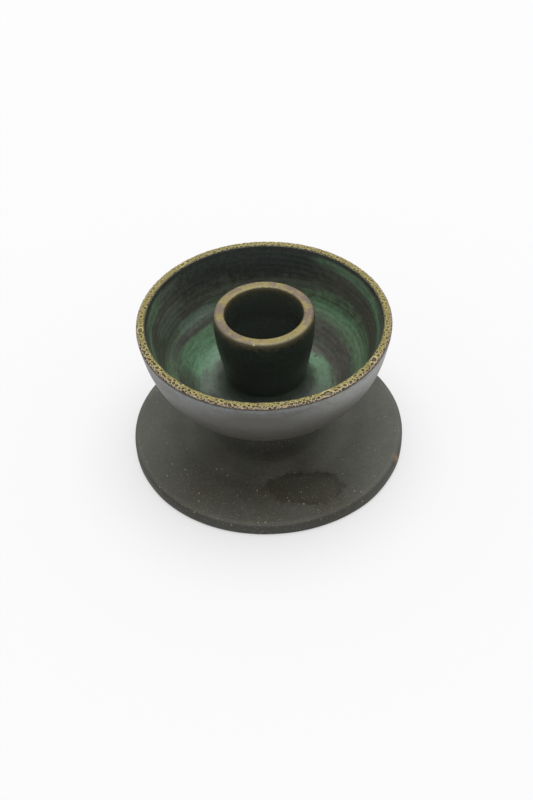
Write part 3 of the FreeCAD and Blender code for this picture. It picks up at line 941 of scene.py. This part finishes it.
def cup_rim():
    """Thin satin glaze that turns from ochre to mauve round the cup, with dark edges."""
    look = Look("cup_rim_glaze")
    across = look.mark("across")
    cloud = look.noise(look.place, 0.22, detail=4.0, roughness=0.6)
    mottle = look.noise(look.place, 1.6, detail=4.0, roughness=0.65)
    ochre = look.math("ADD", look.sector(285, 50), look.sector(110, 60))
    ochre = look.math("ADD", ochre, look.between(across, 0.5, 0.9, 0.0, 0.4))
    share = look.math("ADD", look.math("MULTIPLY", ochre, 0.45), look.between(cloud, 0.3, 0.7))
    color = look.mix(look.between(share, 0.35, 1.0), srgb(99, 83, 71), srgb(127, 115, 60))
    color = look.paint(color, look.between(mottle, 0.35, 0.7, 0.0, 0.4), (98, 86, 66))
    pale = look.between(look.noise(look.shifted(12.0), 0.9, detail=4.0), 0.5, 0.72)
    color = look.paint(color, pale, (160, 146, 112), 0.35)
    ragged = look.between(mottle, 0.25, 0.75, -0.05, 0.05)
    place = look.math("ADD", across, ragged)
    outer_edge = look.between(place, 0.28, 0.02)
    inner_edge = look.between(place, 0.88, 1.0)
    edge = look.math("MAXIMUM", outer_edge, inner_edge)
    color = look.paint(color, edge, (66, 61, 40), 0.9)
    color = look.paint(color, look.mark("dot"), (44, 38, 28))
    color = look.paint(color, look.mark("nub"), (148, 136, 96))
    rough = look.between(mottle, 0.25, 0.75, 0.4, 0.54)
    return look.finish(color, rough, mottle, 0.05 * MM)


def body_clay():
    look = Look("body_clay")
    color = look.mix(look.noise(look.place, 0.5), srgb(58, 54, 48), srgb(74, 70, 62))
    grain = look.noise(look.place, 3.0, detail=3.0)
    return look.finish(color, 0.8, grain, 0.03 * MM)


# ---- pieces -----------------------------------------------------------------------------------

# Spots, each with its azimuth in degrees, and its radius, height and size in mm
LINING_PIMPLES = ((33, 20.6, 24.9, 0.45),)
CUP_NUBS = ((257, 16.0, 54.45, 0.42),)
CUP_DOTS = (
    (298, 15.4, 54.7, 0.22),
    (244, 15.9, 54.5, 0.18),
    (312, 14.2, 54.8, 0.16),
    (22, 14.9, 54.8, 0.20),
    (85, 15.3, 54.8, 0.18),
    (171, 14.5, 54.8, 0.18),
    (206, 15.7, 54.6, 0.16),
)


def make_foot():
    foot = Turned("foot", columns=512, spacing=0.75 * MM, softness=0.3 * MM)
    throwing_rings(foot, pitch=2.6 * MM, height=0.012 * MM, seed=41)
    lumps(foot, size=7 * MM, height=0.03 * MM, seed=43)
    foot.make(foot_clay())


def make_hidden_clay():
    clay = body_clay()
    for node, slot in (
        ("foot_joint_slip", "slip"),
        ("bowl", "body_clay"),
        ("cup_joint_slip", "slip"),
        ("well_cup", "body_clay"),
    ):
        Turned(node, columns=256, spacing=0.3 * MM, softness=0.2 * MM).make(clay)


def make_bowl_glazes():
    outside = Turned("bowl_outer_glaze", columns=600, spacing=0.4 * MM, softness=0.8 * MM)
    throwing_rings(outside, pitch=2.2 * MM, height=0.018 * MM, seed=3)
    lumps(outside, size=5 * MM, height=0.025 * MM, seed=7)
    outside.make(grey_glaze())

    lining = Turned("bowl_lining_glaze", columns=600, spacing=0.45 * MM, softness=0.6 * MM)
    throwing_rings(lining, pitch=2.0 * MM, height=0.035 * MM, seed=5)
    lumps(lining, size=4 * MM, height=0.03 * MM, seed=9)
    mark_spots(lining, "pimple", LINING_PIMPLES, height=0.25 * MM)
    lining.make(green_glaze())

    rim = Turned("bowl_rim_glaze", columns=2400, spacing=0.1 * MM, softness=0.2 * MM)
    run_over(rim, least=0.01 * MM, most=0.09 * MM, lift=0.05 * MM, seed=11)
    lumps(rim, size=1.6 * MM, height=0.02 * MM, seed=13)
    crater_glaze(rim, seed=17)
    rim.make(ochre_glaze())


def make_cup_glazes():
    black = black_glaze()
    outside = Turned("cup_outer_glaze", columns=480, spacing=0.35 * MM, softness=0.4 * MM)
    throwing_rings(outside, pitch=1.8 * MM, height=0.012 * MM, seed=23)
    outside.make(black)

    lip = Turned("cup_rim_glaze", columns=960, spacing=0.12 * MM, softness=0.25 * MM)
    run_over(lip, least=0.01 * MM, most=0.1 * MM, lift=0.03 * MM, seed=29)
    lumps(lip, size=1.5 * MM, height=0.02 * MM, seed=27)
    mark_spots(lip, "nub", CUP_NUBS, height=0.06 * MM)
    mark_spots(lip, "dot", CUP_DOTS, height=-0.08 * MM)
    mark_across(lip)
    lip.make(cup_rim())

    well = Turned("well_lining_glaze", columns=480, spacing=0.35 * MM, softness=0.4 * MM)
    throwing_rings(well, pitch=1.8 * MM, height=0.025 * MM, seed=31)
    well.make(black)


# ---- stage ------------------------------------------------------------------------------------

def make_floor():
    """A plain white light table, which softens the shadow round the foot."""
    look = Look("floor")
    look.finish(srgb(*FLOOR_COLOR), 0.8)
    look.shader.inputs["Emission Color"].default_value = (1, 1, 1, 1)
    look.shader.inputs["Emission Strength"].default_value = FLOOR_GLOW
    work = bmesh.new()
    bmesh.ops.create_grid(work, x_segments=8, y_segments=8, size=FLOOR_HALF_SIZE)
    mesh = bpy.data.meshes.new("floor")
    work.to_mesh(mesh)
    work.free()
    mesh.materials.append(look.material)
    floor = bpy.data.objects.new("floor", mesh)
    floor.location.z = -FLOOR_DROP
    bpy.context.scene.collection.objects.link(floor)


def make_lights():
    """A white room, and one wide soft light that stands almost straight above."""
    world = bpy.data.worlds.new("studio")
    bpy.context.scene.world = world
    world.use_nodes = True
    background = world.node_tree.nodes["Background"]
    background.inputs["Color"].default_value = (1, 1, 1, 1)
    background.inputs["Strength"].default_value = ROOM_STRENGTH
    softbox = bpy.data.lights.new("softbox", "SUN")
    softbox.angle = SOFTBOX_WIDTH
    softbox.energy = SOFTBOX_STRENGTH
    lamp = bpy.data.objects.new("softbox", softbox)
    lamp.location = (0, 0, 1)
    lamp.rotation_euler = Euler((-SOFTBOX_BACK, SOFTBOX_RIGHT, 0))
    bpy.context.scene.collection.objects.link(lamp)


def make_camera():
    camera = bpy.data.cameras.new("camera")
    camera.lens = 50
    camera.sensor_width = 36
    eye = bpy.data.objects.new("camera", camera)
    eye.location = (
        0,
        -CAMERA_DISTANCE * math.cos(CAMERA_ELEVATION),
        CAMERA_DISTANCE * math.sin(CAMERA_ELEVATION),
    )
    tilt = Euler((math.pi / 2 + CAMERA_PITCH, 0, CAMERA_YAW)).to_matrix()
    roll = Euler((0, 0, CAMERA_ROLL)).to_matrix()
    eye.rotation_euler = (tilt @ roll).to_euler()
    bpy.context.scene.collection.objects.link(eye)
    bpy.context.scene.camera = eye


make_foot()
make_hidden_clay()
make_bowl_glazes()
make_cup_glazes()
make_floor()
make_lights()
make_camera()
bpy.context.scene.view_settings.view_transform = "Standard"
